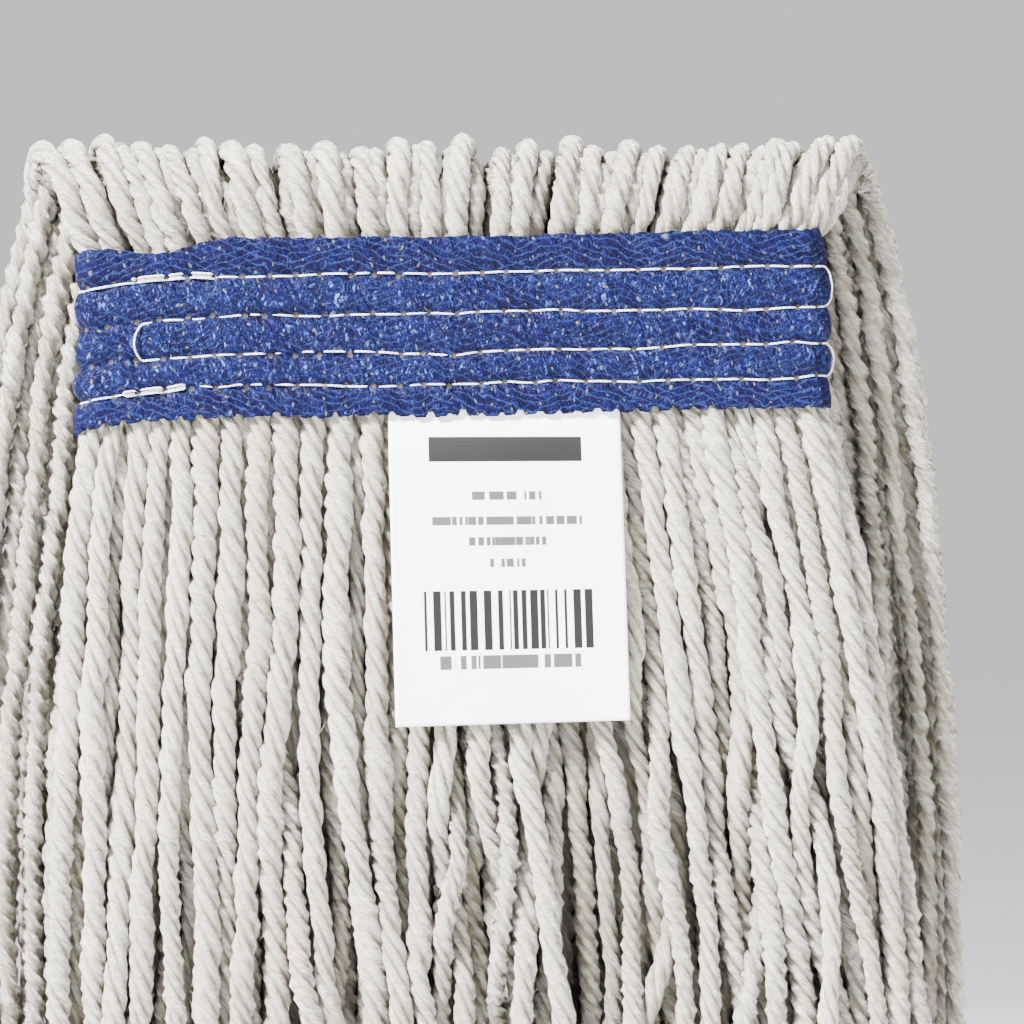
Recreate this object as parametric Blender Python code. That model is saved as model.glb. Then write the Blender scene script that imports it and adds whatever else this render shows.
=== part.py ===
"""A cut-end cotton wet mop head with a narrow mesh headband, hanging as a handle's clamp holds it.

A hundred and twelve strands of cotton yarn lie close together through a flat loop of mesh tape and
are sewn to it in four rows. Below the loop's front they hang as the front skirt. Above it they fold
over and hang behind as the back skirt. A satin label is sewn in under the tape's lower edge.

Each strand is too thin to be a solid of its own here, so seven neighbours make one lock. A lock is
cut where the mop bends: a crown piece in the headband and over the fold, a front tail from the
tape's lower edge down, and a back tail from the end of the fold down.

+Z is up and -Y is the front. The origin is the middle of the headband's front face.
"""

import math

import bmesh
import bpy
from mathutils import Matrix, Vector

MM = 0.001

# Headband: a loop of mesh tape, hemmed to a double wall
BAND_WIDTH = 134 * MM
BAND_HEIGHT = 32 * MM
BAND_DEPTH = 12 * MM
TAPE_WALL = 1.4 * MM
TAPE_CORNER = 3 * MM  # inner radius at the loop's four corners
CORNER_STEPS = 4

# Stitching: height of each row above the tape's lower edge, and the groove it pulls into the tape
ROW_HEIGHTS = (25 * MM, 17.9 * MM, 11.2 * MM, 5.3 * MM)
ROW_MARGIN = 8 * MM  # from each end of the band to the ends of a row
THREAD_RADIUS = 0.25 * MM
THREAD_SIDES = 8
THREAD_CLEARANCE = 0.3 * MM
THREAD_SINK = 0.15 * MM  # from the tape's face down to the top of the thread

# Yarn: the strands are grouped in locks, side by side
LOCKS = 16
TAIL_LENGTH = 370 * MM
TAIL_UNEVEN = 6 * MM  # how much the cut ends differ
SEAT_GAP = 0.3 * MM  # between touching soft pieces
LOCK_CORNER = 2.5 * MM
CUT_TAPER = 4 * MM
CUT_SHRINK = 0.6

# Crown: the yarn above the headband, folded over to the back
CROWN_RISE = 7 * MM  # straight yarn above the tape before it turns
CROWN_STEPS = 6

# Width of the yarn as a share of its width inside the tape: where the fold ends, and behind the
# tape's lower edge
FOLD_SPREAD = 1.2
BACK_SPREAD = 1.25

# Skirts: how they widen and thicken towards the cut ends
FRONT_FAN = 0.42
BACK_FAN = 0.22
FAN_REACH = 90 * MM
FLARE = 20 * MM
FLARE_REACH = 150 * MM
BULGE = 2.2 * MM  # how far the front yarn swells forward just below the tape
BULGE_REACH = 6 * MM

# Label
LABEL_WIDTH = 41 * MM
LABEL_DROP = 54 * MM
LABEL_THICKNESS = 0.4 * MM
LABEL_CENTRE = 9 * MM
LABEL_LIFT = 0.5 * MM  # from the front yarn to the middle of the label

# Hinge lines: in front of the front skirt below the tape, and behind the back skirt at the fold
HINGE_DROP = 0.5 * MM
HINGE_OUT = 0.35 * MM

# What follows from the sizes above
BAND_BOTTOM = -BAND_HEIGHT / 2
BAND_TOP = BAND_HEIGHT / 2
CORE_HALF_WIDTH = BAND_WIDTH / 2 - TAPE_WALL - SEAT_GAP
CORE_HALF_DEPTH = BAND_DEPTH / 2 - TAPE_WALL - SEAT_GAP
CORE_FRONT = TAPE_WALL + SEAT_GAP
FRONT_RUN = BAND_DEPTH / 2
BACK_RUN = BAND_DEPTH + SEAT_GAP + CORE_HALF_DEPTH
FOLD_RADIUS = (BACK_RUN - FRONT_RUN) / 2
FOLD_MIDDLE = (BACK_RUN + FRONT_RUN) / 2
FOLD_HEIGHT = BAND_TOP + CROWN_RISE
FRONT_HINGE = Vector((0, -HINGE_OUT, BAND_BOTTOM - HINGE_DROP))
BACK_HINGE = Vector((0, BACK_RUN + CORE_HALF_DEPTH + HINGE_OUT, FOLD_HEIGHT))
GROOVE_DEPTH = THREAD_SINK + 2 * THREAD_RADIUS + THREAD_CLEARANCE
GROOVE_WIDTH = 2 * (THREAD_RADIUS + THREAD_CLEARANCE)

# Where each tail has a cross-section, as distances below the tape
TAIL_STATIONS = [d * MM for d in (5, 12, 30, 60, 110, 180, 270)]
LABEL_STATIONS = [d * MM for d in (3, 6, 10, 16, 24, 34, 44)]


def clear_scene():
    for old in list(bpy.data.objects):
        bpy.data.objects.remove(old)


def material(name, colour, roughness, metallic=0.0):
    made = bpy.data.materials.new(name)
    made.use_nodes = True
    shader = made.node_tree.nodes["Principled BSDF"]
    shader.inputs["Base Color"].default_value = (*colour, 1)
    shader.inputs["Roughness"].default_value = roughness
    shader.inputs["Metallic"].default_value = metallic
    return made


def add_object(name, mesh, finish, origin=Vector()):
    """A named object with its origin at a given point, its mesh made in world coordinates."""
    recalculated = bmesh.new()
    recalculated.from_mesh(mesh)
    bmesh.ops.recalc_face_normals(recalculated, faces=recalculated.faces)
    recalculated.to_mesh(mesh)
    recalculated.free()
    mesh.transform(Matrix.Translation(-origin))
    mesh.materials.append(finish)
    made = bpy.data.objects.new(name, mesh)
    made.location = origin
    bpy.context.scene.collection.objects.link(made)
    return made


def loft(name, rings, closed=False):
    """A mesh skinned over rings of equal point counts: capped at both ends, or closed on itself.

    The two halves of a ring are split along mirrored diagonals, so that the side of one lock runs
    parallel to the side of the next where the yarn turns and widens at once.
    """
    count = len(rings[0])
    points = [point for ring in rings for point in ring]
    spans = len(rings) if closed else len(rings) - 1
    faces = []
    for i in range(spans):
        a, b = i * count, (i + 1) % len(rings) * count
        for j in range(count):
            k = (j + 1) % count
            if j < count / 2:
                faces += [(a + j, a + k, b + k), (a + j, b + k, b + j)]
            else:
                faces += [(a + j, a + k, b + j), (a + k, b + k, b + j)]
    if not closed:
        faces.append(tuple(range(count))[::-1])
        faces.append(tuple(range(len(points) - count, len(points))))
    mesh = bpy.data.meshes.new(name)
    mesh.from_pydata(points, [], faces)
    return mesh


def lock_section(centre, half_width, half_depth, across):
    """An eight-sided section: a rectangle with its corners cut, wide along X, deep along across."""
    cut = min(LOCK_CORNER, 0.6 * half_width, 0.6 * half_depth)
    corners = [
        (half_width, half_depth - cut),
        (half_width - cut, half_depth),
        (cut - half_width, half_depth),
        (-half_width, half_depth - cut),
        (-half_width, cut - half_depth),
        (cut - half_width, -half_depth),
        (half_width - cut, -half_depth),
        (half_width, cut - half_depth),
    ]
    return [centre + Vector((x, 0, 0)) + across * d for x, d in corners]


def lane(number, spread):
    """Middle and half-width of a lock's lane, where the yarn is spread times as wide as the core."""
    pitch = 2 * CORE_HALF_WIDTH / LOCKS * spread
    middle = (number - (LOCKS - 1) / 2) * pitch
    return middle, (pitch - SEAT_GAP) / 2


def front_surface(drop):
    """Y of the front skirt's front, at a distance below the tape."""
    bulge = BULGE * (1 - math.exp(-drop / BULGE_REACH))
    return CORE_FRONT - bulge - FLARE * (1 - math.exp(-drop / FLARE_REACH))


def back_surface(drop):
    """Y of the back skirt's rear, at a distance below the tape's lower edge."""
    return BACK_RUN + CORE_HALF_DEPTH + FLARE * (1 - math.exp(-drop / FLARE_REACH))


def fanned(drop):
    """How much of a skirt's fan is reached at a distance below the tape, from 0 to 1."""
    return 1 - math.exp(-drop / FAN_REACH)


def rounded_loop():
    """Points and outward normals around the inside of the headband, seen from above."""
    half_x = BAND_WIDTH / 2 - TAPE_WALL - TAPE_CORNER
    half_y = BAND_DEPTH / 2 - TAPE_WALL - TAPE_CORNER
    around = []
    for quarter, (side_x, side_y) in enumerate(((1, 1), (-1, 1), (-1, -1), (1, -1))):
        for step in range(CORNER_STEPS + 1):
            angle = math.pi / 2 * (quarter + step / CORNER_STEPS)
            normal = Vector((math.cos(angle), math.sin(angle), 0))
            middle = Vector((side_x * half_x, FRONT_RUN + side_y * half_y, 0))
            around.append((middle + TAPE_CORNER * normal, normal))
    return around


def tape_profile():
    """The tape's wall as (distance out from its inner face, height), grooved at each row."""
    profile = [(0, BAND_BOTTOM), (TAPE_WALL, BAND_BOTTOM)]
    for height in sorted(ROW_HEIGHTS):
        row = BAND_BOTTOM + height
        profile += [
            (TAPE_WALL, row - GROOVE_WIDTH / 2),
            (TAPE_WALL - GROOVE_DEPTH, row - GROOVE_WIDTH / 2),
            (TAPE_WALL - GROOVE_DEPTH, row + GROOVE_WIDTH / 2),
            (TAPE_WALL, row + GROOVE_WIDTH / 2),
        ]
    return profile + [(TAPE_WALL, BAND_TOP), (0, BAND_TOP)]


def make_headband(finish):
    profile = tape_profile()
    rings = [
        [point + normal * out + Vector((0, 0, height)) for out, height in profile]
        for point, normal in rounded_loop()
    ]
    return add_object("headband", loft("headband", rings, closed=True), finish)


def make_stitch_row(name, face_y, inward, height, finish):
    """A straight run of thread lying in its groove, just under the tape's face."""
    y = face_y + inward * (THREAD_SINK + THREAD_RADIUS)
    half = BAND_WIDTH / 2 - ROW_MARGIN
    rings = [
        [
            Vector((
                x,
                y + THREAD_RADIUS * math.cos(2 * math.pi * k / THREAD_SIDES),
                BAND_BOTTOM + height + THREAD_RADIUS * math.sin(2 * math.pi * k / THREAD_SIDES),
            ))
            for k in range(THREAD_SIDES)
        ]
        for x in (-half, half)
    ]
    return add_object(name, loft(name, rings), finish)


def crown_stations():
    """(middle, across, spread) along the yarn, from the tape's lower edge up through the tape and
    over the fold to the back. across points to the outer side of the fold."""
    run = [
        (Vector((0, FRONT_RUN, BAND_BOTTOM)), Vector((0, -1, 0)), 1.0),
        (Vector((0, FRONT_RUN, BAND_TOP)), Vector((0, -1, 0)), 1.0),
    ]
    for step in range(CROWN_STEPS + 1):
        share = step / CROWN_STEPS
        angle = math.pi * share
        across = Vector((0, -math.cos(angle), math.sin(angle)))
        middle = Vector((0, FOLD_MIDDLE, FOLD_HEIGHT)) + FOLD_RADIUS * across
        run.append((middle, across, 1 + (FOLD_SPREAD - 1) * share))
    return run


def make_crown_lock(number, finish):
    rings = []
    for middle, across, spread in crown_stations():
        x, half_width = lane(number, spread)
        centre = middle + Vector((x, 0, 0))
        rings.append(lock_section(centre, half_width, CORE_HALF_DEPTH, across))
    name = f"crown_lock_{number + 1:02d}"
    return add_object(name, loft(name, rings), finish)


def tail_stations(number, start):
    """Where one lock's tail has its sections, as distances below the tape's lower edge."""
    cut = TAIL_LENGTH + TAIL_UNEVEN * math.sin(2.4 * number)
    return [start, *(d for d in TAIL_STATIONS if d < cut - 2 * CUT_TAPER), cut]


def tail_section(number, drop, spread, front_y, back_y):
    x, half_width = lane(number, spread)
    centre = Vector((x, (front_y + back_y) / 2, BAND_BOTTOM - drop))
    return lock_section(centre, half_width, (back_y - front_y) / 2, Vector((0, 1, 0)))


def add_tail(name, rings, origin, finish):
    """The tail with its cut end drawn together."""
    middle = sum(rings[-1], Vector()) / len(rings[-1])
    below = Vector((0, 0, -CUT_TAPER))
    end = [middle + CUT_SHRINK * (point - middle) + below for point in rings[-1]]
    return add_object(name, loft(name, [*rings, end]), finish, origin)


def make_front_lock(number, finish):
    """A tail from the tape's lower edge down, in front."""
    rings = []
    for drop in tail_stations(number, SEAT_GAP):
        spread = 1 + FRONT_FAN * fanned(drop)
        back_y = FRONT_RUN + CORE_HALF_DEPTH
        rings.append(tail_section(number, drop, spread, front_surface(drop), back_y))
    return add_tail(f"front_lock_{number + 1:02d}", rings, FRONT_HINGE, finish)


def make_back_lock(number, finish):
    """A tail from the end of the fold down, behind the tape and the front skirt."""
    front_y = BACK_RUN - CORE_HALF_DEPTH
    fold_drop = SEAT_GAP - FOLD_HEIGHT + BAND_BOTTOM
    rings = [tail_section(number, fold_drop, FOLD_SPREAD, front_y, back_surface(0))]
    for drop in tail_stations(number, 0):
        spread = BACK_SPREAD + BACK_FAN * fanned(drop)
        rings.append(tail_section(number, drop, spread, front_y, back_surface(drop)))
    return add_tail(f"back_lock_{number + 1:02d}", rings, BACK_HINGE, finish)


def make_label(finish):
    """The satin flap, hanging on the front yarn from the lower edge of the tape."""
    half = LABEL_THICKNESS / 2
    rings = []
    for drop in [HINGE_DROP, *(d for d in LABEL_STATIONS if d < LABEL_DROP), LABEL_DROP]:
        y = min(FRONT_HINGE.y, front_surface(drop) - LABEL_LIFT)
        left, right = LABEL_CENTRE - LABEL_WIDTH / 2, LABEL_CENTRE + LABEL_WIDTH / 2
        corners = ((left, y - half), (right, y - half), (right, y + half), (left, y + half))
        rings.append([Vector((cx, cy, BAND_BOTTOM - drop)) for cx, cy in corners])
    return add_object("label", loft("label", rings), finish, FRONT_HINGE)


def main():
    clear_scene()
    cotton = material("cotton yarn", (0.72, 0.70, 0.65), 0.95)
    mesh_tape = material("blue mesh tape", (0.05, 0.10, 0.33), 0.45)
    thread = material("white thread", (0.80, 0.80, 0.80), 0.6)
    satin = material("white satin", (0.88, 0.88, 0.88), 0.5)

    make_headband(mesh_tape)
    for row, height in enumerate(ROW_HEIGHTS, start=1):
        make_stitch_row(f"front_stitch_row_{row}", 0.0, 1, height, thread)
        make_stitch_row(f"back_stitch_row_{row}", BAND_DEPTH, -1, height, thread)

    make_label(satin)
    for number in range(LOCKS):
        make_crown_lock(number, cotton)
        make_front_lock(number, cotton)
        make_back_lock(number, cotton)


main()
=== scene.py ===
import math

import bpy
import numpy as np
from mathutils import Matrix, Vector


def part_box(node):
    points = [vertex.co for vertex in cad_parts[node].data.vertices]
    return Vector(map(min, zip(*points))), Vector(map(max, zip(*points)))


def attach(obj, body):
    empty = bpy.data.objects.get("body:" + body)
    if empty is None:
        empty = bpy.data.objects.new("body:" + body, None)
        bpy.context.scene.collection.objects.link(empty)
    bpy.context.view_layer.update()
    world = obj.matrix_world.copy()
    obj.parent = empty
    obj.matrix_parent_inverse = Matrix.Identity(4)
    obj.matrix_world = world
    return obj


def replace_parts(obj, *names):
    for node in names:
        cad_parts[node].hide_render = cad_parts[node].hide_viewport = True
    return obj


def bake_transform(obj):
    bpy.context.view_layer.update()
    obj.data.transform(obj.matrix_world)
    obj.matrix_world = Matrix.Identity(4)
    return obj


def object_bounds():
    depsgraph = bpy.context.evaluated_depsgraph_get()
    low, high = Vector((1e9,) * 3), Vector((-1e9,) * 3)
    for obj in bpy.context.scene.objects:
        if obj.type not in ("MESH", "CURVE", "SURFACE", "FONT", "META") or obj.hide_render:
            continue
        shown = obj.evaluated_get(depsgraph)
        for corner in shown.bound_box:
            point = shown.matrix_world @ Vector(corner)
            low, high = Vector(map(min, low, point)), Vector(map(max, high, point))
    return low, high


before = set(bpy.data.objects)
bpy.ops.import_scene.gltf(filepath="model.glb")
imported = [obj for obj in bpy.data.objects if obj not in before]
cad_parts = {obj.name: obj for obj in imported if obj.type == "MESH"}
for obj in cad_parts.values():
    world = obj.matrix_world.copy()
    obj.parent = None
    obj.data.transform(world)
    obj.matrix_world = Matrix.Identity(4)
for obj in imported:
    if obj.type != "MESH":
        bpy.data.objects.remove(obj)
cadLow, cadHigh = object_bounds()
print("frame loaded, CAD box", [round(c, 4) for c in (*cadLow, *cadHigh)])

mm = 0.001
tapeLow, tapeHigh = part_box("headband")
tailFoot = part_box("front_lock_08")[0].z
backLow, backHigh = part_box("back_lock_08")
labelLow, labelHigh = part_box("label")
lockCount = sum(node.startswith("front_lock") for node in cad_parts)


def numbered(start, count):
    # names that end in 01, 02 and so on
    return [f"{start}{n + 1:02d}" for n in range(count)]


def shareOut(items, blocks):
    # the items in their order, cut into blocks of nearly equal count
    ends = [k * len(items) // blocks for k in range(blocks + 1)]
    return [items[a:b] for a, b in zip(ends[:-1], ends[1:])]


def eased(t):
    # from 0 to 1 with a level start and end: 3 t^2 - 2 t^3
    return t * t * (3 - 2 * t)


class Wire:
    # one output socket; arithmetic on it adds Math nodes
    def __init__(self, finish, socket):
        self.finish, self.socket = finish, socket

    def math(self, operation, *values):
        return self.finish.node("Math", {"operation": operation}, dict(enumerate(values)))

    def __add__(self, other):
        return self.math("ADD", self, other)

    def __radd__(self, other):
        return self.math("ADD", other, self)

    def __sub__(self, other):
        return self.math("SUBTRACT", self, other)

    def __rsub__(self, other):
        return self.math("SUBTRACT", other, self)

    def __mul__(self, other):
        return self.math("MULTIPLY", self, other)

    def __mod__(self, other):
        return self.math("FLOORED_MODULO", self, other)

    def __lt__(self, other):
        return self.math("LESS_THAN", self, other)

    def __gt__(self, other):
        return self.math("GREATER_THAN", self, other)

    def floor(self):
        return self.math("FLOOR", self)

    def apart(self):
        # its distance from 0
        return self.math("ABSOLUTE", self)

    def ramp(self, low, high):
        # 0 below low and 1 above high, smooth between them
        settings = {"interpolation_type": "SMOOTHSTEP", "clamp": True}
        return self.finish.node("MapRange", settings, {0: self, 1: low, 2: high})


class Finish:
    # one material, with the one way in which its nodes are added
    def __init__(self, name, **constants):
        self.material = bpy.data.materials.new(name)
        self.material.use_nodes = True
        self.tree = self.material.node_tree
        self.shader = self.tree.nodes["Principled BSDF"]
        for socket, value in constants.items():
            self.shader.inputs[socket.replace("_", " ")].default_value = value

    def node(self, kind, settings=None, sockets=None, out=0):
        # any node: its settings first, then the values or links of its sockets
        made = self.tree.nodes.new("ShaderNode" + kind)
        for key, value in (settings or {}).items():
            setattr(made, key, value)
        for socket, value in (sockets or {}).items():
            self.feed(made.inputs[socket], value)
        return Wire(self, made.outputs[out])

    def feed(self, socket, value):
        # a link for a wire, and a plain value for anything else
        if isinstance(value, Wire):
            self.tree.links.new(value.socket, socket)
        else:
            socket.default_value = value

    def shade(self, **values):
        # what the surface shader itself gets, by the names of its sockets
        for socket, value in values.items():
            self.feed(self.shader.inputs[socket.replace("_", " ")], value)

    def split(self, vector):
        return [self.node("SeparateXYZ", None, {0: vector}, k) for k in range(3)]

    def surface(self):
        # millimetres across and along the piece's own UV map
        return self.split(self.node("UVMap", {"uv_map": "surface"}))[:2]

    def attribute(self, name):
        return self.node("Attribute", {"attribute_name": name}, None, "Fac")

    def join(self, x, y, z=0.0):
        return self.node("CombineXYZ", None, {0: x, 1: y, 2: z})

    def blend(self, share, first, second):
        settings = {"data_type": "RGBA"}
        return self.node("Mix", settings, {0: share, 6: colour(first), 7: colour(second)}, 2)

    def paint(self, tone, *coats):
        # colours laid one over another, each by its own share
        for share, over in coats:
            tone = self.blend(share, tone, over)
        return tone

    def noise(self, vector, scale, detail=2.0, roughness=0.5):
        sockets = {"Vector": vector, "Scale": scale, "Detail": detail, "Roughness": roughness}
        return self.node("TexNoise", None, sockets)

    def cells(self, vector, scale, feature="F1", out="Distance"):
        sockets = {"Vector": vector, "Scale": scale}
        return self.node("TexVoronoi", {"feature": feature}, sockets, out)

    def bump(self, height, distance, strength=1.0, under=None):
        # a normal from a height field, on top of the one under it
        sockets = {"Height": height, "Distance": distance, "Strength": strength}
        if under:
            sockets["Normal"] = under
        return self.node("Bump", None, sockets)


def colour(value):
    # a colour written as red, green and blue shares of 1, as a screen shows them
    if isinstance(value, Wire):
        return value
    linear = [((c + 0.055) / 1.055) ** 2.4 if c > 0.04 else c / 12.92 for c in value]
    return (*linear, 1.0)


def meshPiece(name, points, faces, finish, corners=None, values=None):
    # faces: a list of (n, k) arrays of point numbers; corners: per-corner UV arrays to match
    mesh = bpy.data.meshes.new(name)
    mesh.vertices.add(len(points))
    mesh.vertices.foreach_set("co", np.asarray(points, np.float32).ravel())
    loops = np.concatenate([f.ravel() for f in faces]).astype(np.int32)
    sizes = np.concatenate([np.full(len(f), f.shape[1]) for f in faces]).astype(np.int32)
    mesh.loops.add(len(loops))
    mesh.loops.foreach_set("vertex_index", loops)
    mesh.polygons.add(len(sizes))
    mesh.polygons.foreach_set("loop_start", (np.cumsum(sizes) - sizes).astype(np.int32))
    mesh.polygons.foreach_set("loop_total", sizes)
    if corners is not None:
        layer = mesh.uv_layers.new(name="surface")
        flat = np.concatenate([c.reshape(-1, 2) for c in corners]).astype(np.float32)
        layer.data.foreach_set("uv", flat.ravel())
    for key, value in (values or {}).items():
        attribute = mesh.attributes.new(key, "FLOAT", "POINT")
        attribute.data.foreach_set("value", np.asarray(value, np.float32))
    mesh.polygons.foreach_set("use_smooth", np.full(len(sizes), True))
    mesh.update(calc_edges=True)
    mesh.validate()
    mesh.materials.append(finish.material)
    piece = bpy.data.objects.new(name, mesh)
    bpy.context.scene.collection.objects.link(piece)
    return piece


def latticeNoise(x, y, seed):
    # smooth noise from -1 to 1: values drawn for whole steps of x and y, eased between them; where
    # it runs along x alone, y is a lane, and lanes a few steps apart are unlike each other
    table = np.random.default_rng(seed).uniform(-1, 1, (256, 256))
    x, y = np.broadcast_arrays(np.asarray(x, float), np.asarray(y, float))
    i, j = np.floor(x).astype(int), np.floor(y).astype(int)
    s, t = eased(x - i), eased(y - j)
    a = table[i % 256, j % 256] * (1 - s) + table[(i + 1) % 256, j % 256] * s
    b = table[i % 256, (j + 1) % 256] * (1 - s) + table[(i + 1) % 256, (j + 1) % 256] * s
    return a * (1 - t) + b * t


def distanceAlong(line):
    # the distance run from a line's start to each of its points
    return np.concatenate([[0], np.cumsum(np.linalg.norm(np.diff(line, axis=0), axis=1))])


def smoothLine(knots, spacing):
    # points along a Catmull-Rom curve through the knots; spacing is a function of distance run
    run = distanceAlong(knots)
    at, stops = 0.0, [0.0]
    while at < run[-1] - 0.6 * spacing(at):
        at += spacing(at)
        stops.append(min(at, run[-1]))
    stops[-1] = run[-1]
    stops = np.array(stops)
    i = np.clip(np.searchsorted(run, stops, side="right") - 1, 0, len(run) - 2)
    t = ((stops - run[i]) / (run[i + 1] - run[i]))[:, None]
    padded = np.vstack([2 * knots[0] - knots[1], knots, 2 * knots[-1] - knots[-2]])
    p0, p1, p2, p3 = (padded[i + k] for k in range(4))
    return 0.5 * (2 * p1 + (p2 - p0) * t + (2 * p0 - 5 * p1 + 4 * p2 - p3) * t**2
                  + (3 * p1 - p0 - 3 * p2 + p3) * t**3)


def lineFrames(line, facing):
    # the tangent and two normals along a line: facing less its share along the tangent, and their cross
    tangent = np.gradient(line, axis=0)
    tangent /= np.linalg.norm(tangent, axis=1, keepdims=True)
    first = facing - (facing * tangent).sum(1, keepdims=True) * tangent
    first /= np.linalg.norm(first, axis=1, keepdims=True)
    return tangent, first, np.cross(first, tangent)


def ringFaces(rings, columns):
    # quads between neighbouring rings, turned outwards, as point numbers and as (ring, column) steps
    i, j = np.meshgrid(np.arange(rings - 1), np.arange(columns), indexing="ij")
    steps = np.stack([(i, j), (i + 1, j), (i + 1, j + 1), (i, j + 1)], axis=0)
    steps = steps.transpose(2, 3, 0, 1).reshape(-1, 4, 2)
    return steps[..., 0] * columns + steps[..., 1] % columns, steps


def spokes(angle, first, second):
    # directions out from a line: cos(angle) of its first normal + sin(angle) of its second
    return np.cos(angle)[..., None] * first[:, None] + np.sin(angle)[..., None] * second[:, None]


def capFaces(rings, columns):
    # a fan over each end of a tube, about two middle points that are numbered after its rings
    j = np.arange(columns)
    k = (j + 1) % columns
    middle = np.full(columns, rings * columns)
    final = (rings - 1) * columns
    start = np.stack([middle, j, k], axis=1)
    end = np.stack([middle + 1, final + k, final + j], axis=1)
    return np.concatenate([start, end])


def bothSides(outer, count):
    # a sheet's outer faces, the same turned over for points numbered count later, and a quad from
    # one side to the other along each edge that only one outer face has
    start, end = outer.ravel(), np.roll(outer, -1, axis=1).ravel()
    bare = ~np.isin(start * count + end, end * count + start)
    start, end = start[bare], end[bare]
    rim = np.stack([end, start, start + count, end + count], axis=1)
    return np.concatenate([outer, outer[:, ::-1] + count, rim])


# the camera comes first, because the cords are measured against its view
studio = {
    "distance": 0.62,
    "aimRight": 10.4 * mm,
    "aimBelow": 17 * mm,  # under the tape's lower edge
    "seen": 181 * mm,  # width of what the picture takes in, at the tape's front
}


def makeCamera():
    # level, and square to the tape; lens = sensor width * distance / width seen
    camera = bpy.data.cameras.new("camera")
    camera.sensor_width = 36
    camera.lens = camera.sensor_width * studio["distance"] / studio["seen"]
    camera.clip_start, camera.clip_end = 0.05, 100
    made = bpy.data.objects.new("camera", camera)
    aim = Vector((studio["aimRight"], tapeLow.y, tapeLow.z - studio["aimBelow"]))
    made.location = aim + Vector((0, -studio["distance"], 0))
    made.rotation_euler = (math.pi / 2, 0, 0)
    bpy.context.scene.collection.objects.link(made)
    bpy.context.scene.camera = made


makeCamera()

yarn = {
    "strandsPerLock": 7,
    "thickness": 4.4 * mm,
    "plyRadius": 0.87 * mm,
    "plyCentre": 1.17 * mm,
    "pitch": 15.5 * mm,  # along the yarn for one whole turn of its four plies
    "kink": 0.42 * mm,  # small bends of the strand's middle
    "twist": 0.34,  # how much the pitch wanders
    "slub": 0.21,  # how much a ply's thickness wanders
    "grain": 0.08 * mm,
    "lumps": 0.17 * mm,
    "bulk": 0.14,  # how much the strand's thickness wanders
    "thick": 0.55,  # more of it in a few places
    "hidden": 3.0 * mm,  # of each strand's end inside the tape
    "fray": 8 * mm,  # of loosened plies at the cut end
    "hairWidth": 0.07 * mm,
    "hairReach": 1.9 * mm,
    "endFibres": 16,
    "fibreAngle": math.radians(30),  # the fibres run nearly along the yarn, so they cross the plies
    "greyCotton": (0.80, 0.775, 0.715),  # of the dullest strand
    "paleCotton": (0.885, 0.865, 0.815),  # of the brightest
    "betweenFibres": (0.56, 0.53, 0.46),
    # colour of the painted shade in the creases between plies
    "paintedCreaseShade": (0.42, 0.38, 0.31),
    # colour of the painted shade deep inside the bundle
    "paintedBundleShade": (0.38, 0.345, 0.28),
}

# columns round a strand, steps along it (near the tape and far from it) and hairs per metre, from
# the layer that shows to the innermost one
makes = {
    "front": [(24, 0.8, 2.0, 1300), (16, 1.3, 2.4, 350), (8, 1.9, 1.9, 0), (8, 1.9, 1.9, 0)],
    "back": [(16, 1.2, 2.0, 500), (12, 1.6, 2.6, 200), (8, 1.9, 1.9, 0), (8, 1.9, 1.9, 0)],
}
nearReach = 78 * mm  # how far from the tape a strand keeps its finer steps


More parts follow.
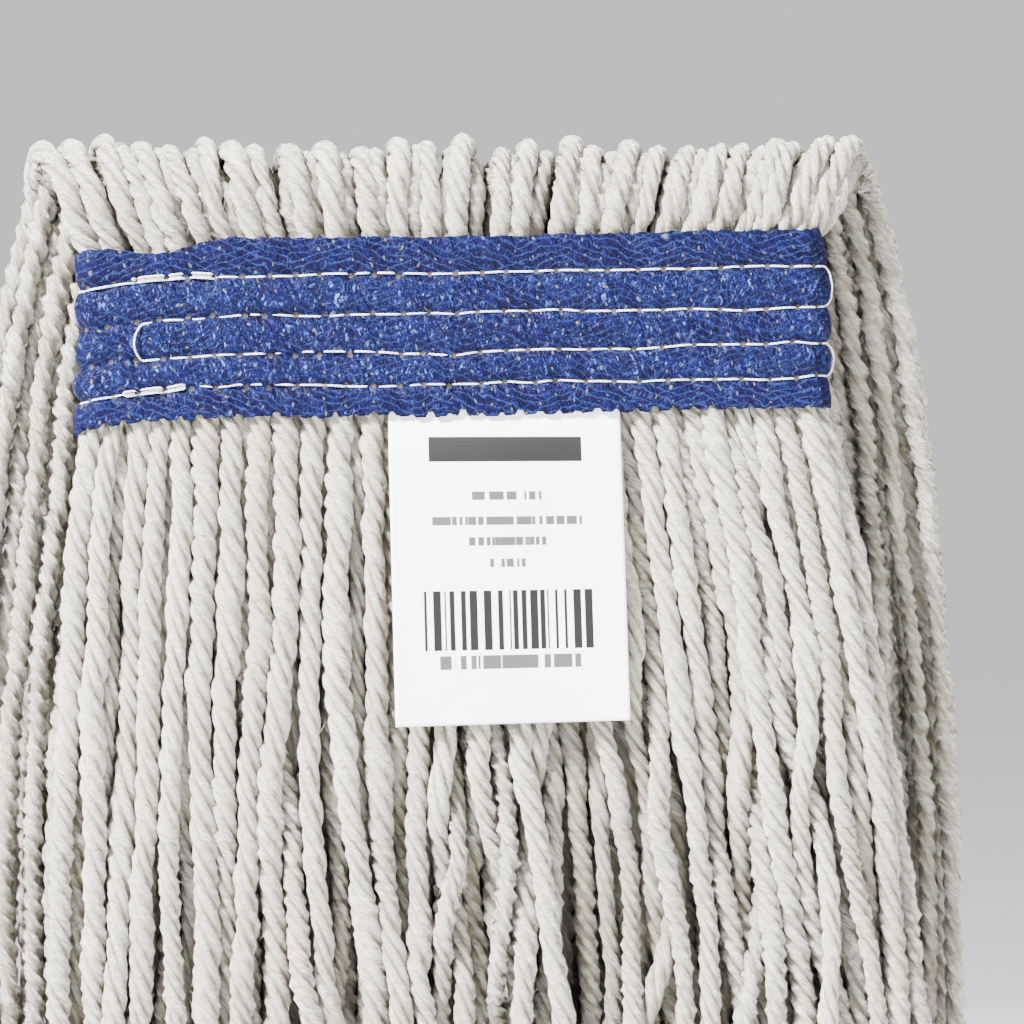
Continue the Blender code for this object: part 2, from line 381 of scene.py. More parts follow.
def yarnSurface(line, facing, columns, rng):
    # radius = the outline of four ply circles, each of wandering size, turned along the line
    tangent, first, second = lineFrames(line, facing)
    run = distanceAlong(line)
    seed = int(rng.integers(1 << 30))
    for k, normal in enumerate((first, second)):
        bend = latticeNoise(run / (8.5 * mm), 20.5 + 6 * k, seed + 5)[:, None]
        line = line + yarn["kink"] * bend * normal
    build = 1 + rng.normal(0, 0.075)
    lean = 1 + yarn["twist"] * latticeNoise(run / (17 * mm), 0.5, seed + 1)
    lean = lean * (1 + rng.normal(0, 0.10))
    turn = np.cumsum(np.gradient(run) * lean) * 2 * math.pi / yarn["pitch"] + rng.uniform(0, 6.28)
    around = np.arange(columns) * 2 * math.pi / columns
    loose = np.clip(1 - (run[-1] - run) / yarn["fray"], 0, 1) ** 2
    radius = np.zeros((len(line), columns))
    for ply in range(4):
        wander = latticeNoise(run / (5.0 * mm), 7.3 * ply + 0.5, seed)
        swell = latticeNoise(run / (12 * mm), 7.3 * ply + 3.5, seed)
        slub = np.clip(latticeNoise(run / (9 * mm), 7.3 * ply + 5.5, seed) - 0.45, 0, 1)
        size = yarn["plyRadius"] * (1 + yarn["slub"] * (wander + 0.8 * swell + 1.6 * slub))
        off = yarn["plyCentre"] * (1 + 0.12 * swell + 0.35 * loose)
        gap = around[None, :] - ply * math.pi / 2 - 0.22 * wander[:, None]
        reach = size[:, None] ** 2 - (off[:, None] * np.sin(gap)) ** 2
        edge = off[:, None] * np.cos(gap) + np.sqrt(np.maximum(reach, 0))
        radius = np.maximum(radius, np.where(reach > 0, edge, 0))
    half = yarn["thickness"] / 2
    # crease: 1 in the hollows between plies, where the finish paints shade
    crease = np.clip(1 - (radius - 0.50 * half) / (0.42 * half), 0, 1)
    radius = np.maximum(radius, 0.50 * half)
    grain = latticeNoise(run[:, None] / (1.0 * mm), around[None, :] * 4 + 0.5, seed + 2)
    lumps = latticeNoise(run[:, None] / (2.6 * mm), around[None, :] * 1.3 + 0.5, seed + 4)
    radius = radius + yarn["grain"] * grain + yarn["lumps"] * lumps
    bulk = build + yarn["bulk"] * latticeNoise(run / (15 * mm), 2.5, seed + 3)
    thick = np.clip(latticeNoise(run / (16 * mm), 8.5, seed + 3) - 0.45, 0, 1)
    bulk = (bulk + yarn["thick"] * thick)[:, None] * (1 - 0.25 * loose[:, None])
    radius = np.minimum(radius * bulk, 0.62 * yarn["thickness"])
    spoke = spokes(around[None, :] + turn[:, None], first, second)
    return {"points": line[:, None] + radius[..., None] * spoke, "spoke": spoke, "crease": crease,
            "run": run, "tangent": tangent, "line": line, "tint": rng.uniform(0, 1)}


def needles(root, out, along, side, length, rise, sway, curl, droop):
    # thin three-sided fibres: centre = root + length * (s * start direction + s^2 * bend)
    count = len(root)
    steps = np.array([-0.1, 0.4, 1.0])[:, None, None]
    centre = root + length * (
        steps * (rise * out + (1 - 0.5 * rise) * along + sway * side)
        + steps**2 * (curl * side - droop * rise * out)
    )
    width = yarn["hairWidth"] / 2 * np.array([1.0, 0.8, 0.15])[:, None, None]
    spin = np.arange(3) * 2 * math.pi / 3
    offset = np.cos(spin)[:, None, None, None] * out + np.sin(spin)[:, None, None, None] * side
    verts = (centre[None] + width[None] * offset).transpose(2, 1, 0, 3).reshape(-1, 3)
    tris = [(0, 2, 1), (6, 7, 8)]
    for level in (0, 3):
        for a in range(3):
            b = (a + 1) % 3
            tris.append((level + a, level + b, level + 3 + b))
            tris.append((level + a, level + 3 + b, level + 3 + a))
    faces = (np.arange(count)[:, None, None] * 9 + np.array(tris)[None]).reshape(-1, 3)
    return verts, faces


def hairs(strand, first, last, density, rng):
    # fibres that stand off the yarn and lie back along it, and a tuft of them at a cut end
    length = strand["run"][last - 1] - strand["run"][first]
    count = rng.poisson(density * (0.4 * length + 0.6 * min(length, nearReach)))
    ring = rng.integers(first + 1, last - 1, count)
    column = rng.integers(0, strand["points"].shape[1], count)
    along = strand["tangent"][ring] * rng.choice([-1, 1], count)[:, None]
    reach = rng.gamma(2.6, 0.5 * mm, count)[:, None].clip(0.3 * mm, yarn["hairReach"] * 1.6)
    rise = rng.uniform(0.25, 1.0, (count, 1)) * np.clip(yarn["hairReach"] / reach, 0, 1)
    tail = yarn["endFibres"] if last == len(strand["run"]) else 0
    ring = np.concatenate([ring, np.full(tail, last - 2)])
    column = np.concatenate([column, rng.integers(0, strand["points"].shape[1], tail)])
    along = np.vstack([along, np.repeat(strand["tangent"][-1:], tail, axis=0)])
    reach = np.vstack([reach, rng.uniform(1.2, 3.4, (tail, 1)) * mm])
    rise = np.vstack([rise, rng.uniform(-0.3, 0.2, (tail, 1))])
    root, out = strand["points"][ring, column], strand["spoke"][ring, column]
    side = np.cross(out, along)
    aside = np.clip(0.8 * mm / reach, 0, 0.7)
    sway = rng.uniform(-1, 1, (count + tail, 1)) * aside
    curl = rng.uniform(-1, 1, (count + tail, 1)) * aside
    return needles(root, out, along, side, reach, rise, sway, curl, 0.35)


def stretch(strand, first, last, density, rng):
    # one stretch of a strand's surface, between two of its rings, closed at both ends
    points = strand["points"][first:last]
    rings, columns = points.shape[:2]
    run = strand["run"][first:last]
    quads, steps = ringFaces(rings, columns)
    girth = math.pi * yarn["thickness"]
    uv = np.stack([steps[..., 1] / columns * girth, run[steps[..., 0]]], axis=-1) / mm
    hairPoints, hairFaces = hairs(strand, first, last, density, rng)
    ends = strand["line"][[first, last - 1]]
    verts = np.concatenate([points.reshape(-1, 3), ends, hairPoints])
    tris = np.concatenate([capFaces(rings, columns), hairFaces + rings * columns + 2])
    crease = np.concatenate([strand["crease"][first:last].ravel(), [1, 1], np.zeros(len(hairPoints))])
    return {"points": verts, "quads": quads, "tris": tris, "uv": uv, "crease": crease,
            "tint": np.full(len(verts), strand["tint"]), "line": strand["line"][first:last]}


def yarnPiece(name, parts, paintedShadeOf):
    # several stretches of yarn joined into one piece; the function passed in says how buried each point
    # lies, for the painted shade inside the bundle
    first = np.cumsum([0] + [len(p["points"]) for p in parts])
    quads = np.concatenate([p["quads"] + n for p, n in zip(parts, first)])
    tris = np.concatenate([p["tris"] + n for p, n in zip(parts, first)])
    corners = [np.concatenate([p["uv"] for p in parts]), np.zeros((len(tris), 3, 2))]
    # crease and deep carry how much painted shade each point gets
    values = {key: np.concatenate([p[key] for p in parts]) for key in ("crease", "tint")}
    points = np.concatenate([p["points"] for p in parts])
    # deep: how much painted shade inside the bundle each point gets
    values["deep"] = paintedShadeOf(points)
    piece = meshPiece(name, points, [quads, tris], cotton, corners, values)
    return piece


def cottonFinish():
    # streaks of noise along the fibres, painted shade in the creases between plies and inside the bundle,
    # with a few seed specks
    finish = Finish("cottonYarn", Roughness=0.95, Sheen_Weight=0.15, Sheen_Roughness=0.6)
    finish.shader.inputs["Specular IOR Level"].default_value = 0.12
    around, along = finish.surface()
    lean = yarn["fibreAngle"]
    across = around * math.cos(lean) - along * math.sin(lean)
    down = around * math.sin(lean) + along * math.cos(lean)
    fibres = finish.noise(finish.join(across * 3.6, down * 0.7), 1.0, 4.0, 0.7)
    wisps = finish.noise(finish.join(across * 1.5, down * 0.5), 1.0, 3.0, 0.6)
    place = finish.node("TexCoord", None, None, "Object")
    cloud = finish.noise(place, 150.0, 2.0)
    fluff = finish.noise(place, 1900.0, 3.0, 0.7)
    specks = finish.cells(place, 420.0) < 0.04
    strand = finish.blend(finish.attribute("tint"), yarn["greyCotton"], yarn["paleCotton"])
    tone = finish.blend(fibres.ramp(0.34, 0.60), yarn["betweenFibres"], strand)
    tone = finish.paint(
        tone,
        (wisps.ramp(0.4, 0.75) * 0.35, (0.95, 0.94, 0.915)),
        (cloud.ramp(0.45, 0.8) * 0.35, (0.72, 0.70, 0.64)),
        # painted shade in the creases between plies
        (finish.attribute("crease").ramp(0.25, 1.0) * 0.7, yarn["paintedCreaseShade"]),
        # painted shade inside the bundle
        (finish.attribute("deep") * 0.62, yarn["paintedBundleShade"]),
        (specks * 0.4, (0.50, 0.42, 0.31)),
    )
    fine = finish.bump(fibres + fluff * 0.8, 0.40 * mm, 1.0)
    finish.shade(Base_Color=tone, Normal=finish.bump(wisps, 0.90 * mm, 1.0, fine))
    return finish


cotton = cottonFinish()
print("cotton finish made")

# how the strands lie
bundle = {
    "levelStep": 4.5 * mm,
    "uneven": 7 * mm,  # how far the cut ends differ
    "alone": 20,  # strands of each skirt that are pieces of their own
    "blocks": 4,  # that the others of a skirt are joined in
    "bulge": 1.4 * mm,
    "bulgeReach": 5 * mm,
    "flare": 15 * mm,
    "flareReach": 150 * mm,
    "fanFrom": -42 * mm,  # the fan's still place, to the left of the middle
    "fanRight": 22 * mm,
    "fanReach": 90 * mm,
    "frontSpread": 0.22,
    "wander": 3.4 * mm,
    "waves": ((190 * mm, 1.0), (95 * mm, 0.55), (48 * mm, 0.28), (27 * mm, 0.10)),  # and shares
    "wanderReach": 38 * mm,
    "tight": 3.0 * mm,  # between strands where the tape holds them
    "slack": 4.2 * mm,  # between strands that hang free
    "foldInner": 3.4 * mm,  # radius of the innermost strand's turn over the tape
    "foldOuter": 10.2 * mm,
    "foldSpread": 1.19,
    "backSpread": 0.16,  # more of the same, below the fold
    "rightRise": 0.022,  # of the tape, for each unit to the right of its middle
    "leftFall": 0.010,
    "droopFrom": 38 * mm,  # to the left of the middle
    "droopRun": 24 * mm,
    "droop": 1.6 * mm,  # at the end of that run
}
tapeHeight = tapeHigh.z - tapeLow.z
halfWide = tapeHigh.x
halfDeep = 0.5 * (tapeHigh.y - tapeLow.y)
layers = 4
perLayer = lockCount * yarn["strandsPerLock"] // layers
half = yarn["thickness"] / 2
coreFront = tapeLow.y + 0.9 * mm
coreBack = tapeHigh.y - 0.9 * mm
coreHalf = tapeHigh.x - 2.6 * mm
tailLength = tapeLow.z - tailFoot - 3 * mm
foldMiddle = backLow.y - 1.0 * mm  # the strands turn about a line at this depth
foldHeight = backHigh.z
skirtGap = 0.5 * (tapeHigh.y + coreBack)  # the two skirts keep to their own side of this


def settle(targets, least, low, high, firm=1, rounds=60):
    # strands nearer than least push each other off, level by level, and are drawn back to their
    # targets and smoothed along their length after each round; the first levels stay firm
    spots = targets.copy()
    for turn in range(rounds):
        gap = spots[:, None] - spots[None, :]
        away = np.sqrt((gap**2).sum(-1)) + 1e-9
        push = np.clip(least - away, 0, None) / away * 0.5
        spots += 0.8 * (gap * push[..., None]).sum(1)
        pull = 0.06 if turn < rounds - 12 else 0.0
        spots += pull * (targets - spots)
        spots[:, 1:-1] = 0.5 * spots[:, 1:-1] + 0.25 * (spots[:, :-2] + spots[:, 2:])
        spots[:, :firm] = targets[:, :firm]
        spots[..., 1] = np.clip(spots[..., 1], low, high)
    return spots


def outwards(drop):
    # how far a skirt's face stands out, a drop below where it hangs from: flare (1 - e^(-drop / reach))
    return bundle["flare"] * (1 - np.exp(-np.maximum(drop, 0) / bundle["flareReach"]))


def frontFace(drop):
    # the front skirt's face: out of the tape with a quick bulge, then outwards as the drop grows
    bulge = bundle["bulge"] * (1 - np.exp(-np.maximum(drop, 0) / bundle["bulgeReach"]))
    return coreFront - bulge - outwards(drop)


def wanders(places, drops, rng):
    # slow waves that grow away from the tape, for every strand, level and direction, and smaller
    # sideways at the bundle's ends, where a strand on its own would stray
    count = len(places)
    made = np.zeros((count, len(drops), 2))
    for wave, share in bundle["waves"]:
        phase = rng.uniform(0, 6.28, (count, 1, 2))
        size = rng.normal(0, 1, (count, 1, 2)) * share * bundle["wander"]
        made += size * np.sin(drops[None, :, None] * 6.28 / wave + phase)
    grown = 1 - np.exp(-np.maximum(drops, 0) / bundle["wanderReach"])
    made[..., 0] *= 1 - 0.7 * (np.abs(places[:, None]) / coreHalf) ** 5
    return made * grown[None, :, None]


def bandSag(x):
    # the tape isn't straight: it rises a little to one side and droops at the other end
    past = np.clip((-x - bundle["droopFrom"]) / bundle["droopRun"], 0, None)
    return np.where(x > 0, bundle["rightRise"], bundle["leftFall"]) * x - past**2 * bundle["droop"]


strandRng = np.random.default_rng(4)
strandLayer = np.repeat(np.arange(layers), perLayer)
slots = np.tile((np.arange(perLayer) + 0.25) / perLayer, layers) + (strandLayer % 2) * 0.5 / perLayer
strandX = 2 * (slots + strandRng.normal(0, 0.11 / perLayer, len(slots))) - 1
strandX = (strandX + 0.06 * np.sin(math.pi * strandX)) * coreHalf  # a little closer at the ends
strandDepth = (strandLayer + 0.5) / layers + strandRng.normal(0, 0.03, len(slots))
heldY = coreFront + 0.75 * half + strandDepth * (coreBack - coreFront - 1.5 * half)


def frontKnots():
    # x = its place in the tape + a fan to the right + a slow spread; y = a share of the way between
    # the skirt's two faces; both wander, and then the strands settle
    step = bundle["levelStep"]
    drops = np.arange(-yarn["hidden"], tailLength + bundle["uneven"] + step, step)
    lean = (strandX - bundle["fanFrom"]) / (coreHalf - bundle["fanFrom"])
    free = np.maximum(drops, 0)
    fan = bundle["fanRight"] * lean[:, None] * (1 - np.exp(-free / bundle["fanReach"]))
    low = bundle["frontSpread"] * strandX[:, None] * (free / tailLength) ** 1.5
    outer = np.where(drops > 0, frontFace(drops) + half, coreFront + 0.75 * half)
    inner = np.full(len(drops), skirtGap - half)
    y = outer + strandDepth[:, None] * (inner - outer)
    y[:, 0] = heldY
    targets = np.stack([strandX[:, None] + fan + low, y], axis=-1)
    targets += wanders(strandX, drops, strandRng)
    least = np.interp(drops, [0, 22 * mm], [bundle["tight"], bundle["slack"]])
    spots = settle(targets, least, outer, inner)
    z = tapeLow.z + bandSag(strandX)[:, None] - drops
    return drops, np.concatenate([spots, z[..., None]], axis=-1)


def crownKnots():
    # up out of the tape, then half a turn about the line at foldMiddle, foldHeight; every strand
    # keeps its own radius, and moves outwards from the tape's width to the fold's on the way
    turnRadius = bundle["foldOuter"] - strandDepth * (bundle["foldOuter"] - bundle["foldInner"])
    rise = np.linspace(tapeHigh.z - yarn["hidden"], foldHeight, 5)[:-1]
    share = eased((rise - rise[0]) / (foldHeight - rise[0]))
    angles = np.linspace(0, math.pi, 11)
    y = np.concatenate([
        heldY[:, None] + share * (foldMiddle - turnRadius - heldY)[:, None],
        foldMiddle - turnRadius[:, None] * np.cos(angles),
    ], axis=1)
    ripple = strandRng.normal(0, 0.6 * mm, (len(strandX), 1))
    z = np.concatenate([
        np.repeat(rise[None], len(strandX), axis=0) + bandSag(strandX)[:, None] * (1 - share),
        foldHeight + (turnRadius[:, None] + ripple) * np.sin(angles),
    ], axis=1)
    widen = np.concatenate([0.35 * share, 0.35 + 0.65 * np.sin(angles / 2)])
    x = strandX[:, None] * (1 + (bundle["foldSpread"] - 1) * widen)
    x = x + ripple * np.concatenate([0 * share, np.sin(angles)])
    return np.stack([x, y, z], axis=-1)


def backKnots(start):
    # down from the fold's end: x spreads by a growing factor, and y eases to its share of the way
    # between the tape's back and the skirt's outer face; both wander, and then the strands settle
    step = bundle["levelStep"]
    behindTape = foldHeight - tapeLow.z
    drops = np.arange(0, behindTape + tailLength + bundle["uneven"] + step, step)
    below = np.clip(drops / behindTape, 0, 1)
    spread = 1 + bundle["backSpread"] * (1 - np.exp(-drops / (45 * mm))) + 0.10 * drops / tailLength
    outer = start[:, 1].max() + outwards(drops)
    tapeBack = tapeHigh.y + 0.3 * mm + half
    inner = np.interp(drops, [behindTape + 5 * mm, behindTape + 60 * mm], [tapeBack, skirtGap + half])
    y = inner + (1 - strandDepth[:, None]) * (outer - inner)
    y = start[:, 1:2] + (y - start[:, 1:2]) * below
    targets = np.stack([start[:, :1] * spread, y], axis=-1)
    targets += 0.8 * wanders(strandX, drops, strandRng)
    least = np.interp(drops, [0, 25 * mm], [3.2 * mm, bundle["slack"]])
    spots = settle(targets, least, inner, outer)
    z = np.broadcast_to(foldHeight - drops, spots.shape[:2])
    return drops, np.concatenate([spots, z[..., None]], axis=-1)


frontDrops, frontLines = frontKnots()
crownLines = crownKnots()
backDrops, backLines = backKnots(crownLines[:, -1])
print("strands laid", len(strandX))


def cutTo(knots, drops, length):
    # the knots down to a length below where their drops start
    keep = int(np.searchsorted(drops, length))
    share = (length - drops[keep - 1]) / (drops[keep] - drops[keep - 1])
    end = knots[keep - 1] + share * (knots[keep] - knots[keep - 1])
    return np.vstack([knots[:keep], end])


def frontStretch(strand):
    # one strand's yarn, from inside the tape to its cut end
    rng = np.random.default_rng(100 + strand)
    columns, near, far, density = makes["front"][strandLayer[strand]]
    length = tailLength + rng.uniform(-1, 1) * bundle["uneven"]
    knots = cutTo(frontLines[strand], frontDrops, length)
    line = smoothLine(knots, lambda at: (near if at < nearReach else far) * mm)
    made = yarnSurface(line, np.array([0.0, -1.0, 0.0]), columns, rng)
    return stretch(made, 0, len(line), density, rng)


def backStretches(strand):
    # the crown and the back tail are one surface, parted at the top of the fold
    rng = np.random.default_rng(400 + strand)
    columns, near, far, density = makes["back"][strandLayer[strand]]
    length = foldHeight - tapeLow.z + tailLength + rng.uniform(-1, 1) * bundle["uneven"]
    tail = cutTo(backLines[strand], backDrops, length)
    knots = np.vstack([crownLines[strand], tail[1:]])
    line = smoothLine(knots, lambda at: (near if at < 1.4 * nearReach else far) * mm)
    made = yarnSurface(line, np.array([1.0, 0.0, 0.0]), columns, rng)
    top = int(np.argmax(line[:, 2])) + 1
    return stretch(made, 0, top, density, rng), stretch(made, top - 1, len(line), density, rng)


def buried(points, face, halfWidth):
    # 0 at the bundle's outside and 1 where nearly 7 mm of yarn or more lie before a point: how much painted
    # shade a point gets inside the bundle
    inside = np.minimum(face, halfWidth - np.abs(points[:, 0]))
    return eased(np.clip((inside - 1.4 * mm) / (5.4 * mm), 0, 1))


def frontPaintedShade(points):
    # painted shade for points buried behind the front face, and inside sides that widen with the drop
    drop = tapeLow.z - points[:, 2]
    wide = coreHalf + 2 * mm + 0.2 * np.maximum(drop, 0)
    return buried(points, points[:, 1] - frontFace(drop), wide)


def backPaintedShade(points):
    # the same painted shade from behind, and less where the tape's ends leave the strands in the open
    drop = foldHeight - points[:, 2]
    outer = crownLines[:, -1, 1].max() + half + outwards(drop)
    wide = 1.2 * coreHalf + 2 * mm + 0.2 * np.maximum(drop, 0)
    covered = np.clip((halfWide + 2 * mm - np.abs(points[:, 0])) / (6 * mm), 0.12, 1)
    return buried(points, outer - points[:, 1], wide) * covered


def crownPaintedShade(points):
    # the same painted shade round the fold, by the distance from the line that the strands turn about
    away = np.hypot(points[:, 1] - foldMiddle, np.maximum(points[:, 2] - foldHeight, 0))
    return buried(points, bundle["foldOuter"] + half - away, 1.2 * coreHalf + 2 * mm)


def hangSkirt(side, parts, paintedShadeOf):
    # the strands that go furthest out are pieces of their own, and the rest are joined in blocks
    def hang(name, members):
        piece = yarnPiece(name, [parts[m] for m in members], paintedShadeOf)
        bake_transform(piece)
        return piece

    def fromLeft(members):
        return sorted(members, key=lambda m: parts[m]["line"][0, 0])

    reach = []
    for part in parts:
        wide, deep = np.abs(part["line"][:, :2] - (0, skirtGap)).max(axis=0)
        reach.append(wide + 3 * deep)
    alone = set(np.argsort(reach)[-bundle["alone"]:].tolist())
    for number, member in enumerate(fromLeft(alone)):
        piece = hang(f"{side}Strand{number + 1:02d}", [member])
    joined = shareOut(fromLeft(set(range(len(parts))) - alone), bundle["blocks"])
    locks = shareOut(numbered(f"{side}_lock_", lockCount), bundle["blocks"])
    for block, members in enumerate(joined):
        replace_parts(hang(f"{side}Yarn{block + 1}", members), *locks[block])


frontParts = [frontStretch(strand) for strand in range(len(strandX))]
hangSkirt("front", frontParts, frontPaintedShade)
print("front skirt made")
crownParts, backParts = zip(*[backStretches(strand) for strand in range(len(strandX))])
hangSkirt("back", backParts, backPaintedShade)
print("back skirt made")
crownMembers = shareOut(np.argsort(strandX, kind="stable").tolist(), 2)
crownLocks = shareOut(numbered("crown_lock_", lockCount), 2)
for block, members in enumerate(crownMembers):
    crown = yarnPiece(f"crownYarn{block + 1}", [crownParts[m] for m in members], crownPaintedShade)
    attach(crown, "band")
    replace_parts(crown, *crownLocks[block])
print("crown made")

tape = {
    "wall": 0.7 * mm,
    "corner": 4.4 * mm,
    "stepAround": 0.44 * mm,
    "stepUp": 0.47 * mm,
    "rows": (25.2 * mm, 18.0 * mm, 11.2 * mm, 5.4 * mm),  # of stitches, above the lower edge
    "puff": 0.75 * mm,  # of the tape between two rows
    "groove": 0.45 * mm,  # that a row pulls in
    "stitch": 4.6 * mm,
    "tooth": 3.4 * mm,  # from notch to notch of the cut lower edge
    "notch": 0.9 * mm,
    "dip": 2.1 * mm,  # in the upper edge
    "dipAt": -52 * mm,
    "dipWide": 7.5 * mm,
    "rowSway": 0.50 * mm,  # slow ups and downs of a stitch row
    "rowShake": 0.30 * mm,
    "crease": 0.26 * mm,
    "crumple": 0.10 * mm,
    "swell": 0.30 * mm,  # slow ups and downs along the loop
    "holeDip": 0.30 * mm,
    "sunk": 0.35 * mm,  # of the whole face, so that the puffs stay within the tape's box
    "waleWide": 2.9,  # millimetres from wale to wale of the knitting
    "waleStep": 2.5,
    # painted shade in the hollows along the stitch rows, and the lighter blue of the puffs
    "shadedHollowBlue": (0.043, 0.026, 0.13),
    "proudBlue": (0.058, 0.056, 0.205),
    "litFacetBlue": (0.062, 0.085, 0.265),
    "fleckHighlightBlue": (0.145, 0.205, 0.42),
    "glint": (0.34, 0.43, 0.66),
}
flatHalf, sideHalf = halfWide - tape["corner"], halfDeep - tape["corner"]
quarter = 0.5 * math.pi * tape["corner"]
tapeRound = 4 * flatHalf + 4 * sideHalf + 4 * quarter


def racetrack():
    # the loop seen from above: its direction turns a quarter over each corner's length
    s = np.linspace(0, tapeRound, 6001)
    starts = np.cumsum([flatHalf, quarter + 2 * sideHalf, quarter + 2 * flatHalf, quarter + 2 * sideHalf])
    turned = sum(np.clip((s - start) / quarter, 0, 1) for start in starts) * 0.5 * math.pi
    step = s[1] - s[0]
    middle = 0.5 * (turned[1:] + turned[:-1])
    x = np.concatenate([[0], np.cumsum(np.cos(middle) * step)])
    y = tapeLow.y + np.concatenate([[0], np.cumsum(np.sin(middle) * step)])
    return s, x, y, turned


trackS, trackX, trackY, trackTurn = racetrack()


def rowHeight(row, u):
    # a stitch row's height wanders along the loop
    slow = latticeNoise(u / (17 * mm), 3.1 * row + 0.5, 31)
    quick = latticeNoise(u / (4.6 * mm), 3.1 * row + 9.5, 31)
    return tape["rows"][row] + tape["rowSway"] * slow + tape["rowShake"] * quick


def edgeHeights(u):
    # the cut edges: notches where a wale of the mesh has dropped out, and a ragged dip on top
    x = np.interp(np.mod(u, tapeRound), trackS, trackX)
    cell = np.floor(u / tape["tooth"])
    across = u / tape["tooth"] - cell
    chance = latticeNoise(cell * 1.37, 0.5, 41)
    width = 0.17 + 0.06 * latticeNoise(cell * 2.11, 4.5, 41)
    deep = tape["notch"] * np.clip(0.7 + 0.8 * chance, 0.1, 1.3)
    low = np.where(np.abs(across - 0.5) < width, deep, 0)
    low = low + 0.22 * mm * latticeNoise(u / (0.9 * mm), 2.5, 42)
    low = low + 0.30 * mm * latticeNoise(u / (7 * mm), 1.5, 42)
    dip = tape["dip"] * np.exp(-(((x - tape["dipAt"]) / tape["dipWide"]) ** 2))
    high = -0.3 * mm - dip + 0.30 * mm * latticeNoise(u / (1.1 * mm), 5.5, 43)
    high = high + 0.45 * mm * latticeNoise(u / (9 * mm), 6.5, 43)
    return low, high


def needleHoles(row):
    # where the thread goes down: a stitch apart all round the loop, none too regular
    rng = np.random.default_rng(50 + row)
    count = int(tapeRound / tape["stitch"])
    return (np.arange(count) + rng.uniform(-0.16, 0.16, count)) * tapeRound / count


holesByRow = [needleHoles(row) for row in range(len(tape["rows"]))]


def fromHole(u, row):
    # the distance round the loop from the nearest needle hole of a row
    away = np.mod(u[..., None] - holesByRow[row] + 0.5 * tapeRound, tapeRound) - 0.5 * tapeRound
    return np.abs(away).min(-1)


def holeField(u, h):
    # 1 at each needle hole, falling off within a millimetre
    field = np.zeros(np.broadcast(u, h).shape)
    for row in range(len(holesByRow)):
        away = (fromHole(u, row) / (0.85 * mm)) ** 2 + ((h - rowHeight(row, u)) / (0.75 * mm)) ** 2
        field = np.maximum(field, np.exp(-away))
    return field


def tapeRelief(u, h):
    # out from the loop: puffed between the rows, pulled in along them, creased and crumpled
    rows = [rowHeight(row, u) for row in range(len(tape["rows"]))]
    edges = [tapeHeight + 1.5 * mm, *rows, np.full_like(u, -3 * mm)]
    relief = np.zeros(np.broadcast(u, h).shape)
    for above, below in zip(edges[:-1], edges[1:]):
        t = np.clip((h - below) / (above - below), 0, 1)
        inside = (h >= below) & (h < above)
        relief = np.where(inside, np.sin(math.pi * t) ** 0.9, relief)
    patch = 0.75 + 0.45 * latticeNoise(u / (8 * mm), h / (7 * mm) + 0.5, 33)
    crease = latticeNoise((u + 0.33 * h) / (2.3 * mm), h / (9 * mm) + 0.5, 34)
    crumple = latticeNoise(u / (0.95 * mm), h / (0.95 * mm) + 0.5, 35)
    relief = tape["puff"] * relief * patch - tape["groove"] * (1 - relief) ** 3
    swell = latticeNoise(u / (21 * mm), h / (30 * mm) + 0.5, 36)
    relief = relief + tape["crease"] * crease + tape["crumple"] * crumple + tape["swell"] * swell
    return relief - tape["holeDip"] * holeField(u, h) - tape["sunk"]


def tapePoint(u, h, lift=0.0):
    # the place on the tape at a distance round the loop and a height above its lower edge
    s = np.mod(u, tapeRound)
    x, y, turned = (np.interp(s, trackS, values) for values in (trackX, trackY, trackTurn))
    out = tapeRelief(u, h) + lift
    px = x + out * np.sin(turned)
    py = y - out * np.cos(turned)
    leanIn = np.clip((h - 20 * mm) / (12 * mm), 0, 1) ** 2 * np.clip(px / halfWide - 0.8, 0, 1) * 5
    return np.stack([px - 2.0 * mm * leanIn, py, tapeLow.z + h + bandSag(x)], axis=-1)


def netCoordinates(u, share):
    # height above the lower edge for a share 0 to 1 of the way up, with both edges' raggedness
    low, high = edgeHeights(u)
    h = share * tapeHeight
    near = np.clip(1 - h / (2.6 * mm), 0, 1)
    far = np.clip(1 - (tapeHeight - h) / (4 * mm), 0, 1)
    return h + low * near + high * far


def makeTape():
    # a grid round the loop and up it, on the outside and a wall further in
    around = int(tapeRound / tape["stepAround"])
    up = int(tapeHeight / tape["stepUp"]) + 1
    u = np.repeat((np.arange(around) * tapeRound / around)[:, None], up, axis=1)
    h = netCoordinates(u, np.linspace(0, 1, up)[None, :])
    outer = tapePoint(u, h)
    inner = tapePoint(u, h, -tape["wall"])
    i, j = np.meshgrid(np.arange(around), np.arange(up - 1), indexing="ij")
    k = (i + 1) % around
    quads = np.stack([i * up + j, k * up + j, k * up + j + 1, i * up + j + 1], axis=-1)
    faces = bothSides(quads.reshape(-1, 4), around * up)
    flat = np.stack([u, h], axis=-1).reshape(-1, 2) / mm
    flat = np.vstack([flat, flat])
    corners = flat[faces]
    wrapped = corners[..., 0].max(1) - corners[..., 0].min(1) > 0.5 * tapeRound / mm
    corners[..., 0] += (wrapped[:, None] & (corners[..., 0] < 0.5 * tapeRound / mm)) * tapeRound / mm
    points = np.vstack([outer.reshape(-1, 3), inner.reshape(-1, 3)])
    hole = np.tile(holeField(u, h).ravel(), 2)
    relief = np.tile(tapeRelief(u, h).ravel(), 2) / tape["puff"]
    values = {"hole": hole, "relief": relief}
    piece = meshPiece("headbandTape", points, [faces], tapeFinish(), [corners], values)
    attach(piece, "band")
    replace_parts(piece, "headband")


def lineMask(position, width, soft=0.5):
    # 1 along the whole numbers of a position, for a line of that share of the spacing
    away = ((position % 1.0) - 0.5).apart()
    return away.ramp(0.5 - width * (1 + soft), 0.5 - width * (1 - soft))


